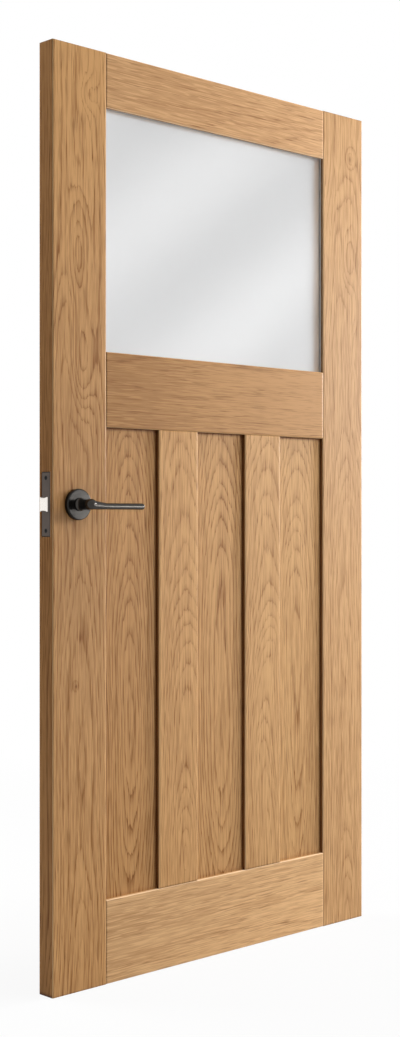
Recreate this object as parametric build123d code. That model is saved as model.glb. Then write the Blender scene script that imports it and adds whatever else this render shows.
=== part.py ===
from build123d import *
import os

# Oak door leaf with a glazed top light above three flat panels, a lever latch set and three butt hinges.
# X runs along the width, with the latch edge at -X and the hinge edge at +X.
# Y runs through the thickness, with the front face at -Y. Z is up from the bottom edge of the leaf.
# Every length is in millimetres.

# Leaf and its framing
leaf_height = 1985.0
leaf_width = 985.0
leaf_thickness = 45.0
stile_width = 146.0
top_rail_height = 117.0
light_height = 520.0
mid_rail_height = 161.0
bottom_rail_height = 179.0
muntin_width = 118.0
arris_radius = 2.0

# Panels, and the tenons that join the framing
panel_recess = 8.5
groove_depth = 12.0
panel_play = 1.5
tenon_thickness = 15.0
tenon_length = 70.0
tenon_shoulder = 20.0
tenon_end_play = 2.0

# Glazing of the top light
rebate_width = 12.0
lip_depth = 7.0
glass_thickness = 6.0
glass_edge_play = 3.0
tape_thickness = 2.0
bead_depth = 18.0
block_length = 60.0
block_place_share = 0.25
bead_pin_radius = 0.7
bead_pin_length = 28.0
bead_pin_play = 0.05
bead_pin_place_shares = (-0.4, 0.0, 0.4)

# Lever handles and their roses
spindle_height = 1022.0
backset = 65.0
spindle_size = 8.0
spindle_play = 0.1
spindle_engagement = 22.0
rose_radius = 33.0
rose_height = 9.5
rose_wall = 1.6
rose_edge_radius = 3.0
rose_gap = 0.5
plate_height = 5.5
plate_rim_play = 0.2
journal_radius = 9.0
journal_play = 0.1
collar_radius = 14.0
collar_height = 2.5
neck_radius = 10.5
head_radius = 11.5
head_crown = 10.5
head_margin = 0.5
lever_projection = 50.0
lever_length = 141.0
grip_drop = 4.0
grip_half_height = 6.8
grip_half_depth = 7.0
grip_end_radius = 3.0
root_half_height = 9.8
root_drop = 1.0
root_length = 38.0
grub_radius = 2.5
grub_play = 0.1
grub_setback = 6.0
grub_recess = 1.0
clip_thickness = 1.2
clip_radius = 11.5
clip_groove_depth = 0.8
clip_play = 0.1
rose_bolt_spacing = 38.0
rose_bolt_radius = 2.0
rose_bolt_play = 0.1
rose_bolt_head_radius = 4.0
rose_bolt_head_height = 2.8
rose_bolt_hole_radius = 3.5
spindle_hole_radius = 13.0

# Mortice latch
forend_height = 135.0
forend_width = 29.0
forend_thickness = 3.0
forend_corner = 2.0
forend_bevel = 1.0
forend_fit = 0.3
forend_screw_spacing = 110.0
bolt_throw = 11.0
bolt_height = 30.0
bolt_thickness = 12.0
bolt_length = 29.0
bolt_nose = 3.0
bolt_play = 0.3
scallop_radius = 6.0
scallop_depth = 2.0
case_wall = 1.5
case_height = 60.0
case_reach = 28.0
case_fit = 0.3
hub_radius = 10.0
hub_play = 0.2
hub_journal_radius = 8.5
hub_journal_play = 0.1
arm_radius = 14.0
arm_width = 6.0
arm_thickness = 5.0
lug_play = 0.2
lug_width = 5.5
tail_height = 5.0
tail_clearance = 1.0
riser_width = 4.0
tab_distance = 23.0
spring_strip = 0.8
spring_width = 4.5
spring_rise = 18.0
spring_play = 0.3
post_radius = 3.0
post_inset = 6.0
case_screw_radius = 1.2
case_screw_head_radius = 2.4
case_screw_head_height = 1.2
case_screw_play = 0.05

# Butt hinges
hinge_height = 102.0
hinge_leaf_width = 38.0
hinge_leaf_thickness = 3.0
hinge_gap = 2.5
barrel_radius = 6.5
barrel_standoff = 0.5
knuckle_gap = 0.3
hinge_pin_radius = 3.0
hinge_pin_play = 0.08
hinge_pin_head_radius = 5.0
hinge_pin_head_height = 3.0
hinge_hole_radius = 2.7
hinge_hole_rise = 75.0
hinge_hole_run = 16.0
hinge_corner = 6.0
top_hinge_drop = 150.0
bottom_hinge_lift = 230.0

# Countersunk wood screws
screw_head_radius = 4.6
screw_head_height = 2.4
screw_shank_radius = 2.2
screw_length = 30.0
screw_point_length = 5.0
screw_play = 0.15
screw_slot_length = 4.6
screw_slot_width = 1.2
screw_slot_depth = 1.3

# Length by which a cutting tool runs past the face that it opens
overrun = 1.0

panel_names = ("latch_side_panel", "centre_panel", "hinge_side_panel")
muntin_names = ("latch_side_muntin", "hinge_side_muntin")
knuckle_count = 5

# Places that follow from the sizes above
half_width = leaf_width / 2
half_thickness = leaf_thickness / 2
shoulder_x = half_width - stile_width
light_top = leaf_height - top_rail_height
light_bottom = light_top - light_height
mid_rail_bottom = light_bottom - mid_rail_height
panel_half_thickness = half_thickness - panel_recess
panel_opening = (2 * shoulder_x - len(muntin_names) * muntin_width) / len(panel_names)
lip_y = lip_depth - half_thickness
glass_front_y = lip_y + tape_thickness
glass_rear_y = glass_front_y + glass_thickness
bead_front_y = glass_rear_y + tape_thickness
spindle_x = backset - half_width
neck_start = rose_height + rose_gap
head_top = lever_projection + grip_half_depth + head_margin
case_half_inside = bolt_thickness / 2 + bolt_play
case_half_outside = case_half_inside + case_wall
case_front = forend_thickness - half_width
case_back = spindle_x + case_reach
hinge_axis_x = half_width + hinge_gap / 2
hinge_axis_y = half_thickness + barrel_radius + barrel_standoff
hinge_leaf_end = hinge_axis_y - hinge_leaf_width
hinge_hole_y = (hinge_leaf_end + half_thickness) / 2
top_hinge_z = leaf_height - top_hinge_drop - hinge_height / 2
bottom_hinge_z = bottom_hinge_lift + hinge_height / 2
hinge_places = {
    "top": top_hinge_z,
    "middle": (top_hinge_z + bottom_hinge_z) / 2,
    "bottom": bottom_hinge_z,
}


def block(x_span, y_span, z_span):
    """A rectangular block between pairs of limits."""
    sizes = [high - low for low, high in (x_span, y_span, z_span)]
    middle = [(low + high) / 2 for low, high in (x_span, y_span, z_span)]
    return Pos(*middle) * Box(*sizes)


def mirrored_span(near, far, side):
    """The span between two distances from a centre plane, on the side +1 or -1."""
    return sorted((side * near, side * far))


def rod(start, direction, radius, length):
    """A round rod or drill from a start point along a direction."""
    return extrude(Plane(origin=start, z_dir=direction) * Circle(radius), amount=length)


# Leaf framing

def rail_levels():
    """Lower and upper edge of each rail."""
    return {
        "top_rail": (light_top, leaf_height),
        "mid_rail": (mid_rail_bottom, light_bottom),
        "bottom_rail": (0, bottom_rail_height),
    }


def light_rebate():
    """Room behind the front lip of the light for the pane, its tapes and the beads."""
    reach_x = shoulder_x + rebate_width
    return block(
        (-reach_x, reach_x),
        (lip_y, half_thickness + overrun),
        (light_bottom - rebate_width, light_top + rebate_width),
    )


def panel_groove():
    """Room for the panels' edges in everything that surrounds them."""
    reach_x = shoulder_x + groove_depth
    return block(
        (-reach_x, reach_x),
        (-panel_half_thickness, panel_half_thickness),
        (bottom_rail_height - groove_depth, mid_rail_bottom + groove_depth),
    )


def tenon(level, side, end_play):
    """A rail's tenon on one side, or with end play the mortice for it."""
    low, high = level
    return block(
        mirrored_span(shoulder_x, shoulder_x + tenon_length + end_play, side),
        (-tenon_thickness / 2, tenon_thickness / 2),
        (low + tenon_shoulder, high - tenon_shoulder),
    )


def stile(side):
    """A full-height stile with mortices for the rails, the panel groove and the light's rebate."""
    section = Pos(side * (half_width - stile_width / 2), 0) * RectangleRounded(
        stile_width, leaf_thickness, arris_radius
    )
    board = extrude(section, amount=leaf_height) - light_rebate() - panel_groove()
    for level in rail_levels().values():
        board -= tenon(level, side, tenon_end_play)
    return board


def rail(level):
    """A rail between the stiles, with a tenon at each end."""
    low, high = level
    section = Plane.YZ * Pos(0, (low + high) / 2) * RectangleRounded(leaf_thickness, high - low, arris_radius)
    board = extrude(section, amount=shoulder_x, both=True) - light_rebate() - panel_groove()
    for side in (-1, 1):
        board += tenon(level, side, 0)
    return board


def muntin(index):
    """An upright between two panels, grooved on both edges and stub-tenoned into the rails."""
    left = -shoulder_x + (index + 1) * panel_opening + index * muntin_width
    middle = left + muntin_width / 2
    section = RectangleRounded(muntin_width, leaf_thickness, arris_radius)
    board = extrude(Pos(middle, 0, bottom_rail_height) * section, amount=mid_rail_bottom - bottom_rail_height)
    core = muntin_width / 2 - groove_depth
    for near, far in ((-muntin_width, -core), (core, muntin_width)):
        board -= block(
            (middle + near, middle + far),
            (-panel_half_thickness, panel_half_thickness),
            (bottom_rail_height - overrun, mid_rail_bottom + overrun),
        )
    stub = block(
        (middle - core, middle + core),
        (-panel_half_thickness, panel_half_thickness),
        (bottom_rail_height - groove_depth, mid_rail_bottom + groove_depth),
    )
    return board + stub


def panel(index):
    """A flat panel that floats in the grooves."""
    left = -shoulder_x + index * (panel_opening + muntin_width)
    tongue = groove_depth - panel_play
    return block(
        (left - tongue, left + panel_opening + tongue),
        (-panel_half_thickness, panel_half_thickness),
        (bottom_rail_height - tongue, mid_rail_bottom + tongue),
    )


# Glazing

def pane_spans():
    """Limits of the pane along X and Z."""
    grow = rebate_width - glass_edge_play
    return (-shoulder_x - grow, shoulder_x + grow), (light_bottom - grow, light_top + grow)


def glass_pane():
    """The pane, a lip and a tape behind the front face."""
    x_span, z_span = pane_spans()
    return block(x_span, (glass_front_y, glass_rear_y), z_span)


def glazing_tape(front_y):
    """The soft tape between the pane and the lip, or between the pane and the beads."""
    x_span, z_span = pane_spans()
    y_span = (front_y, front_y + tape_thickness)
    sight = block((-shoulder_x, shoulder_x), y_span, (light_bottom, light_top))
    return block(x_span, y_span, z_span) - sight


def setting_blocks():
    """Two blocks that carry the pane's weight on the mid rail."""
    x_span, z_span = pane_spans()
    run = block_place_share * (x_span[1] - x_span[0])
    return [
        block(
            (place - block_length / 2, place + block_length / 2),
            (glass_front_y, glass_rear_y),
            (light_bottom - rebate_width, z_span[0]),
        )
        for place in (-run, run)
    ]


def bead_frames():
    """For each bead: the middle of its sight edge, the way out of the light, and its sight length."""
    middle_z = (light_bottom + light_top) / 2
    return {
        "top_bead": ((0, light_top), (0, 1), 2 * shoulder_x),
        "bottom_bead": ((0, light_bottom), (0, -1), 2 * shoulder_x),
        "latch_side_bead": ((-shoulder_x, middle_z), (-1, 0), light_height),
        "hinge_side_bead": ((shoulder_x, middle_z), (1, 0), light_height),
    }


def bead_plane(middle, out):
    """Plane on the bead's hidden face: local x along the bead, local y out of the light, z to the rear."""
    along = (out[1], 0, -out[0])
    return Plane(origin=(middle[0], bead_front_y, middle[1]), x_dir=along, z_dir=(0, 1, 0))


def bead_pin_drills(radius):
    """The pins of every bead, driven from the sight edge into the framing, at the given radius."""
    drills = []
    for middle, out, length in bead_frames().values():
        frame = bead_plane(middle, out)
        outward = frame.y_dir if frame.y_dir.dot(Vector(out[0], 0, out[1])) > 0 else frame.y_dir * -1
        for share in bead_pin_place_shares:
            start = frame.from_local_coords((share * length, 0, bead_depth / 2))
            drills.append(rod(start, outward, radius, bead_pin_length))
    return drills


def bead(middle, out, length):
    """A square glazing bead, mitred at both ends, with its pin holes."""
    frame = bead_plane(middle, out)
    way = 1 if frame.y_dir.dot(Vector(out[0], 0, out[1])) > 0 else -1
    outline = Polyline(
        (-length / 2, 0),
        (length / 2, 0),
        (length / 2 + rebate_width, way * rebate_width),
        (-length / 2 - rebate_width, way * rebate_width),
        close=True,
    )
    strip = extrude(frame * make_face(outline), amount=bead_depth)
    sight_middle = frame.from_local_coords((0, 0, bead_depth))
    sight_edge = strip.edges().sort_by_distance(sight_middle)[0]
    return fillet(sight_edge, arris_radius) - bead_pin_drills(bead_pin_radius + bead_pin_play)


# Wood screws

def screw(seat, direction):
    """A countersunk wood screw with a cross recess, its head flush with the seat."""
    tip = screw_length - screw_point_length
    outline = Polyline(
        (0, 0),
        (screw_head_radius, 0),
        (screw_shank_radius, screw_head_height),
        (screw_shank_radius, tip),
        (0, screw_length),
        close=True,
    )
    body = revolve(Plane.XZ * make_face(outline), Axis.Z)
    for turn in (0, 90):
        body -= Rot(0, 0, turn) * Box(screw_slot_length, screw_slot_width, 2 * screw_slot_depth)
    return Plane(origin=seat, z_dir=direction) * body


def screw_drill(seat, direction):
    """The pilot hole and countersink that a screw goes into."""
    tip = screw_length - screw_point_length
    outline = Polyline(
        (0, -overrun),
        (screw_head_radius + screw_play, -overrun),
        (screw_head_radius + screw_play, screw_play),
        (screw_shank_radius + screw_play, screw_head_height + screw_play),
        (screw_shank_radius + screw_play, tip),
        (0, screw_length + screw_play),
        close=True,
    )
    return Plane(origin=seat, z_dir=direction) * revolve(Plane.XZ * make_face(outline), Axis.Z)


# Lever handles

front_seat = Plane(origin=(spindle_x, -half_thickness, spindle_height), x_dir=(1, 0, 0), z_dir=(0, -1, 0))


def handle_pair(shape):
    """A handle piece on the front face, and its mirror image on the rear face."""
    front = front_seat * shape
    return front, mirror(front, about=Plane.XZ)


def lever():
    """A lever: journal, collar and stout neck turned about the spindle, and an oval grip from its side."""
    journal_end = -clip_thickness - 2 * clip_play - clip_groove_depth
    neck_foot = neck_start + collar_height
    head_foot = head_top - head_crown
    waist = Spline(
        (collar_radius, neck_foot),
        (neck_radius, (neck_foot + head_foot) / 2),
        (head_radius, head_foot),
        tangents=((-1, 1), (0, 1)),
    )
    outline = [
        Polyline(
            (0, head_top),
            (0, journal_end),
            (journal_radius, journal_end),
            (journal_radius, neck_start),
            (collar_radius, neck_start),
            (collar_radius, neck_foot),
        ),
        waist,
        RadiusArc((head_radius, head_foot), (head_radius - head_crown, head_top), -head_crown),
        Line((head_radius - head_crown, head_top), (0, head_top)),
    ]
    body = revolve(Plane.XZ * make_face(outline), Axis.Z) + grip()
    socket = spindle_size + 2 * spindle_play
    body -= Pos(0, 0, (spindle_engagement + journal_end - overrun) / 2) * Box(
        socket, socket, spindle_engagement - journal_end + overrun
    )
    body -= grub_drill(grub_radius + grub_play, collar_radius)
    groove_height = clip_thickness + 2 * clip_play
    groove = Cylinder(clip_radius, groove_height)
    groove -= Cylinder(journal_radius - clip_groove_depth, groove_height)
    return body - Pos(0, 0, -groove_height / 2) * groove


def grip():
    """The lever's oval grip. It tapers out of the head, sinks a little below the spindle and runs straight."""
    across = Plane(origin=(0, 0, lever_projection), x_dir=(0, 1, 0), z_dir=(1, 0, 0))
    root = across * Pos(-root_drop, 0) * Ellipse(root_half_height, grip_half_depth)
    section = across * Pos(-grip_drop, 0, root_length) * Ellipse(grip_half_height, grip_half_depth)
    bar = loft([root, section]) + extrude(section, amount=lever_length - root_length)
    return fillet(bar.faces().sort_by(Axis.X)[-1].edges(), grip_end_radius)


def grub_drill(radius, reach):
    """The grub screw's hole in the underside of the neck, out to the given reach."""
    start = (0, -spindle_size / 2, neck_start + collar_height + grub_setback)
    return rod(start, (0, -1, 0), radius, reach)


def grub_screw():
    """The set screw that grips the spindle."""
    return grub_drill(grub_radius, neck_radius - grub_recess - spindle_size / 2)


def circlip():
    """The open ring that keeps the lever's journal in the plate."""
    bore = journal_radius - clip_groove_depth + clip_play
    ring = Cylinder(clip_radius, clip_thickness) - Cylinder(bore, clip_thickness)
    mouth = Pos(0, -clip_radius) * Box(journal_radius, 2 * clip_radius, 2 * clip_thickness)
    return Pos(0, 0, -clip_play - clip_thickness / 2) * (ring - mouth)


def rose():
    """The round cover: a thin cup with a soft outer edge, open in the middle for the journal."""
    opening = journal_radius + rose_gap
    outline = Polyline(
        (rose_radius, 0),
        (rose_radius, rose_height),
        (opening, rose_height),
        (opening, rose_height - rose_wall),
        (rose_radius - rose_wall, rose_height - rose_wall),
        (rose_radius - rose_wall, 0),
        close=True,
    )
    section = make_face(outline)
    outer_corner = section.vertices().sort_by_distance((rose_radius, rose_height))[0]
    section = fillet(outer_corner, rose_edge_radius)
    return revolve(Plane.XZ * section, Axis.Z)


def rose_bolt_places():
    """Where the two through bolts stand beside the spindle."""
    return [(side * rose_bolt_spacing / 2, 0) for side in (-1, 1)]


def rose_plate(counterbored):
    """The plate under a rose. It carries the lever's journal and takes the through bolts."""
    plate = Cylinder(rose_radius - rose_wall - plate_rim_play, plate_height) - Cylinder(
        journal_radius + journal_play, plate_height
    )
    plate = Pos(0, 0, plate_height / 2) * plate
    through = plate_height + 2 * overrun
    for x, y in rose_bolt_places():
        plate -= rod((x, y, -overrun), (0, 0, 1), rose_bolt_radius + rose_bolt_play, through)
        if counterbored:
            seat = plate_height - rose_bolt_head_height
            plate -= rod((x, y, seat), (0, 0, 1), rose_bolt_head_radius + rose_bolt_play, plate_height)
    return plate


def rose_bolts():
    """Two bolts from the front plate through the stile and the latch case into the rear plate."""
    seat = -half_thickness - plate_height + rose_bolt_head_height
    length = half_thickness + plate_height - seat
    bolts = []
    for x, z in rose_bolt_places():
        place = (spindle_x + x, seat, spindle_height + z)
        shank = rod(place, (0, 1, 0), rose_bolt_radius, length)
        bolts.append(shank + rod(place, (0, -1, 0), rose_bolt_head_radius, rose_bolt_head_height))
    return bolts


def spindle():
    """The square bar that joins the two levers through the latch."""
    half_length = half_thickness + spindle_engagement
    return Pos(spindle_x, 0, spindle_height) * Box(spindle_size, 2 * half_length, spindle_size)


# Mortice latch

def latch_outline(grow):
    """The latch bolt's section across its travel: a bar scalloped above and below, grown all round."""
    bar = Rectangle(bolt_thickness + 2 * grow, bolt_height + 2 * grow)
    reach = bolt_height / 2 + scallop_radius - scallop_depth
    noses = [Pos(0, side * reach) * Circle(scallop_radius - grow) for side in (-1, 1)]
    return Plane.YZ * Pos(0, spindle_height) * (bar - noses)


def latch_bolt():
    """The sprung bolt: a head bevelled towards the front face, a riser, and a tail with a lug."""
    tip = -half_width - bolt_throw
    root = tip + bolt_length
    half = bolt_thickness / 2
    head = extrude(Pos(tip, 0, 0) * latch_outline(0), amount=bolt_length)
    bevel = Polyline(
        (tip - overrun, half - bolt_nose),
        (tip, half - bolt_nose),
        (-half_width - forend_fit, -half),
        (-half_width - forend_fit, -half - overrun),
        (tip - overrun, -half - overrun),
        close=True,
    )
    head -= extrude(Pos(0, 0, spindle_height) * make_face(bevel), amount=bolt_height, both=True)
    tail_low = spindle_height + arm_radius + tail_clearance
    y_span = (-arm_thickness / 2, arm_thickness / 2)
    lug_face = spindle_x + arm_width / 2 + lug_play
    riser = block((root - riser_width, root), y_span, (spindle_height, tail_low + tail_height))
    tail = block((root - riser_width, lug_face + lug_width), y_span, (tail_low, tail_low + tail_height))
    lug = block((lug_face, lug_face + lug_width), y_span, (spindle_height + hub_radius, tail_low))
    return head + riser + tail + lug


def latch_axle(radius, half_length):
    """A rod on the spindle's axis, across the middle of the leaf's thickness."""
    start = (spindle_x, -half_length, spindle_height)
    return rod(start, (0, 1, 0), radius, 2 * half_length)


def follower():
    """The hub that the spindle turns, with an arm that draws the bolt and one that bears on its spring."""
    hub = latch_axle(hub_radius, case_half_inside - hub_play)
    journal = latch_axle(hub_journal_radius, case_half_outside)
    arms = Pos(spindle_x, 0, spindle_height) * Box(arm_width, arm_thickness, 2 * arm_radius)
    hole = spindle_size + 2 * spindle_play
    return hub + journal + arms - Pos(spindle_x, 0, spindle_height) * Box(hole, leaf_thickness, hole)


def case_z_span(inset):
    """Limits of the latch case in height, drawn in by an inset."""
    half = case_height / 2 - inset
    return spindle_height - half, spindle_height + half


def case_posts():
    """Where the cover's screw posts stand in the case."""
    low, high = case_z_span(post_inset)
    front = case_front + tab_distance
    return [(front, low), (case_back - post_inset, low), (case_back - post_inset, high)]


def tab_face():
    """Place of the case tab's front face, against which the latch spring rests."""
    return bolt_length - bolt_throw - half_width + tab_distance


def rose_bolt_drills():
    """Clearance holes for the through bolts, right through the leaf."""
    start = -half_thickness - overrun
    return [
        rod((spindle_x + x, start, spindle_height + z), (0, 1, 0), rose_bolt_hole_radius, -2 * start)
        for x, z in rose_bolt_places()
    ]


def case_openings():
    """Holes that the case and its cover share: the follower's journals and the through bolts."""
    return [latch_axle(hub_journal_radius + hub_journal_play, half_thickness), *rose_bolt_drills()]


def case_screw_drills(radius):
    """The cover screws' shanks at the given radius."""
    return [
        rod((x, case_half_outside, z), (0, -1, 0), radius, 2 * case_half_inside)
        for x, z in case_posts()
    ]


def latch_case():
    """The open tray of the latch: base, walls, posts for the cover's screws and a tab for the springs."""
    tray = block((case_front, case_back), (-case_half_outside, case_half_inside), case_z_span(0))
    tray -= block(
        (case_front + case_wall, case_back - case_wall),
        (-case_half_inside, case_half_inside + overrun),
        case_z_span(case_wall),
    )
    mouth = Pos(case_front - overrun, 0, 0) * latch_outline(bolt_play)
    tray -= extrude(mouth, amount=case_wall + 2 * overrun)
    tab = block(
        (tab_face(), tab_face() + case_wall),
        (-case_half_inside, arm_thickness / 2),
        (case_z_span(case_wall)[0], spindle_height + hub_radius),
    )
    posts = [
        rod((x, -case_half_inside, z), (0, 1, 0), post_radius, 2 * case_half_inside)
        for x, z in case_posts()
    ]
    return tray + tab + posts - case_openings() - case_screw_drills(case_screw_radius + case_screw_play)


def latch_case_cover():
    """The flat cover of the latch case."""
    plate = block((case_front, case_back), (case_half_inside, case_half_outside), case_z_span(0))
    return plate - case_openings() - case_screw_drills(case_screw_radius + case_screw_play)


def case_screws():
    """The small screws that hold the cover on the case."""
    heads = [
        rod((x, case_half_outside, z), (0, 1, 0), case_screw_head_radius, case_screw_head_height)
        for x, z in case_posts()
    ]
    return [shank + head for shank, head in zip(case_screw_drills(case_screw_radius), heads)]


def strip_spring(x_span, level, drop):
    """A flat V spring with its two ends at one level and its bend a drop below them."""
    low, high = x_span
    line = Polyline((low, level), ((low + high) / 2, level - drop), (high, level))
    return extrude(Plane.XZ * trace(line, line_width=spring_strip), amount=spring_width / 2, both=True)


def latch_spring():
    """The spring that pushes the bolt out."""
    root = bolt_length - bolt_throw - half_width
    gap = spring_strip + spring_play
    return strip_spring((root + gap, tab_face() - gap), spindle_height + hub_radius / 2, spring_rise)


def follower_spring():
    """The spring that brings the follower and the levers back to rest."""
    gap = spring_strip + spring_play
    arm_face = spindle_x - arm_width / 2
    drop = arm_radius - arm_width / 2
    return strip_spring((tab_face() + case_wall + gap, arm_face - gap), spindle_height - drop, drop)


def forend_screw_seats():
    """Where the forend's two screws sit."""
    return [(-half_width, 0, spindle_height + side * forend_screw_spacing / 2) for side in (-1, 1)]


def forend_blank(start_x):
    """The forend's outline, solid from start_x to the front of the case."""
    outline = Plane.YZ * Pos(0, spindle_height) * RectangleRounded(forend_width, forend_height, forend_corner)
    return extrude(Pos(start_x, 0, 0) * outline, amount=case_front - start_x)


def latch_forend():
    """The bevelled plate let into the latch edge, with its bolt aperture and countersunk holes."""
    blank = forend_blank(-half_width)
    plate = chamfer(blank.faces().sort_by(Axis.X)[0].edges(), forend_bevel)
    plate -= extrude(Pos(-half_width - overrun, 0, 0) * latch_outline(bolt_play), amount=forend_width)
    return plate - [screw_drill(seat, (1, 0, 0)) for seat in forend_screw_seats()]


def latch_pocket():
    """The mortice for the latch: a shallow seat for the forend and a deep one for the case."""
    forend = forend_blank(-half_width - overrun)
    half = case_half_outside + case_fit + case_screw_head_height
    case = block((case_front - overrun, case_back + case_fit), (-half, half), case_z_span(-case_fit))
    drills = [screw_drill(seat, (1, 0, 0)) for seat in forend_screw_seats()]
    bore = latch_axle(spindle_hole_radius, half_thickness + overrun)
    return [forend, case, bore, *drills, *rose_bolt_drills()]


# Butt hinges

def hinge_holes(level):
    """Height and depth of the screw holes in one hinge leaf."""
    return [
        (hinge_hole_y + run * hinge_hole_run / 2, level + rise * hinge_hole_rise / 2)
        for run in (-1, 1)
        for rise in (-1, 1)
    ]


def knuckle_span(index, level):
    """Limits in height of one knuckle of the barrel, counted from the bottom."""
    pitch = (hinge_height + knuckle_gap) / knuckle_count
    low = level - hinge_height / 2 + index * pitch
    return low, low + pitch - knuckle_gap


def hinge_plate(face_x, level):
    """A hinge leaf's flat plate behind the face at face_x, with two rounded corners."""
    width = half_thickness - hinge_leaf_end
    face = Plane(origin=(face_x, hinge_hole_y, level), x_dir=(0, 1, 0), z_dir=(1, 0, 0))
    outline = face * Rectangle(width, hinge_height)
    corners = outline.vertices().group_by(Axis.Y)[0]
    return extrude(fillet(corners, hinge_corner), amount=hinge_leaf_thickness)


def hinge_leaf(low_x, first_knuckle, level):
    """One leaf of a hinge without its screw holes: a plate and every second knuckle from the first."""
    leaf = hinge_plate(low_x, level)
    for index in range(first_knuckle, knuckle_count, 2):
        span = knuckle_span(index, level)
        leaf += block((low_x, low_x + hinge_leaf_thickness), (half_thickness - overrun, hinge_axis_y), span)
        leaf += rod((hinge_axis_x, hinge_axis_y, span[0]), (0, 0, 1), barrel_radius, span[1] - span[0])
    bore = (hinge_axis_x, hinge_axis_y, level - hinge_height)
    return leaf - rod(bore, (0, 0, 1), hinge_pin_radius + hinge_pin_play, 2 * hinge_height)


def frame_screw_hole(seat):
    """A countersunk clearance hole through a frame leaf, drilled along X from its seat."""
    depth = screw_head_height - (hinge_hole_radius - screw_shank_radius)
    outline = Polyline(
        (0, -overrun),
        (screw_head_radius + screw_play, -overrun),
        (screw_head_radius + screw_play, 0),
        (hinge_hole_radius, depth),
        (hinge_hole_radius, hinge_leaf_thickness + overrun),
        (0, hinge_leaf_thickness + overrun),
        close=True,
    )
    return Plane(origin=seat, z_dir=(1, 0, 0)) * revolve(Plane.XZ * make_face(outline), Axis.Z)


def door_leaf(level):
    """The hinge leaf let into the door's edge, with holes that fit its screws."""
    leaf = hinge_leaf(half_width - hinge_leaf_thickness, 1, level)
    return leaf - [screw_drill((half_width, y, z), (-1, 0, 0)) for y, z in hinge_holes(level)]


def frame_leaf(level):
    """The hinge leaf that screws to a frame."""
    inner_face = half_width + hinge_gap
    leaf = hinge_leaf(inner_face, 0, level)
    return leaf - [frame_screw_hole((inner_face, y, z)) for y, z in hinge_holes(level)]


def hinge_pin(level):
    """A hinge pin with a button head above the barrel."""
    foot = (hinge_axis_x, hinge_axis_y, level - hinge_height / 2)
    head = (hinge_axis_x, hinge_axis_y, level + hinge_height / 2)
    button = rod(head, (0, 0, 1), hinge_pin_head_radius, hinge_pin_head_height)
    crown = button.faces().sort_by(Axis.Z)[-1].edges()
    return rod(foot, (0, 0, 1), hinge_pin_radius, hinge_height) + fillet(crown, hinge_pin_head_height / 2)


def hinge_screw_seats():
    """Where the screws of all three door leaves sit."""
    return [(half_width, y, z) for level in hinge_places.values() for y, z in hinge_holes(level)]


def hinge_recesses():
    """Seats in the hinge edge for the door leaves and their screws."""
    cuts = [screw_drill(seat, (-1, 0, 0)) for seat in hinge_screw_seats()]
    for level in hinge_places.values():
        seat = hinge_plate(half_width - hinge_leaf_thickness, level)
        face = seat.faces().sort_by(Axis.X)[-1]
        cuts += [seat, extrude(face, amount=overrun)]
    return cuts


def build_pieces():
    """Every piece of the door by name. A list is a group of like solids in one piece."""
    pin_holes = bead_pin_drills(bead_pin_radius + bead_pin_play)
    pieces = {
        "latch_stile": stile(-1) - latch_pocket() - pin_holes,
        "hinge_stile": stile(1) - hinge_recesses() - pin_holes,
    }
    for name, level in rail_levels().items():
        pieces[name] = rail(level) - latch_pocket() - pin_holes
    for index, name in enumerate(muntin_names):
        pieces[name] = muntin(index)
    for index, name in enumerate(panel_names):
        pieces[name] = panel(index)

    pieces["glass_pane"] = glass_pane()
    pieces["front_glazing_tape"] = glazing_tape(lip_y)
    pieces["rear_glazing_tape"] = glazing_tape(glass_rear_y)
    pieces["setting_blocks"] = setting_blocks()
    for name, (middle, out, length) in bead_frames().items():
        pieces[name] = bead(middle, out, length)
    pieces["bead_pins"] = bead_pin_drills(bead_pin_radius)

    pieces["front_lever"], pieces["rear_lever"] = handle_pair(lever())
    pieces["front_rose"], pieces["rear_rose"] = handle_pair(rose())
    pieces["front_rose_plate"] = handle_pair(rose_plate(True))[0]
    pieces["rear_rose_plate"] = handle_pair(rose_plate(False))[1]
    pieces["lever_circlips"] = list(handle_pair(circlip()))
    pieces["lever_grub_screws"] = list(handle_pair(grub_screw()))
    pieces["rose_bolts"] = rose_bolts()
    pieces["spindle"] = spindle()

    pieces["latch_forend"] = latch_forend()
    pieces["forend_screws"] = [screw(seat, (1, 0, 0)) for seat in forend_screw_seats()]
    pieces["latch_case"] = latch_case()
    pieces["latch_case_cover"] = latch_case_cover()
    pieces["case_screws"] = case_screws()
    pieces["latch_bolt"] = latch_bolt()
    pieces["latch_follower"] = follower()
    pieces["latch_spring"] = latch_spring()
    pieces["follower_spring"] = follower_spring()

    for name, level in hinge_places.items():
        pieces[f"{name}_hinge_door_leaf"] = door_leaf(level)
        pieces[f"{name}_hinge_frame_leaf"] = frame_leaf(level)
        pieces[f"{name}_hinge_pin"] = hinge_pin(level)
    pieces["hinge_screws"] = [screw(seat, (-1, 0, 0)) for seat in hinge_screw_seats()]
    return pieces


os.makedirs("parts", exist_ok=True)
for piece_name, shape in build_pieces().items():
    solids = [solid for item in (shape if isinstance(shape, list) else [shape]) for solid in item.solids()]
    export_step(Compound(children=solids) if len(solids) > 1 else solids[0], f"parts/{piece_name}.step")
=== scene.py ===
import logging
import math
from dataclasses import dataclass
from enum import Enum
from functools import reduce

import bmesh
import bpy
from mathutils import Matrix, Vector


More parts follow.
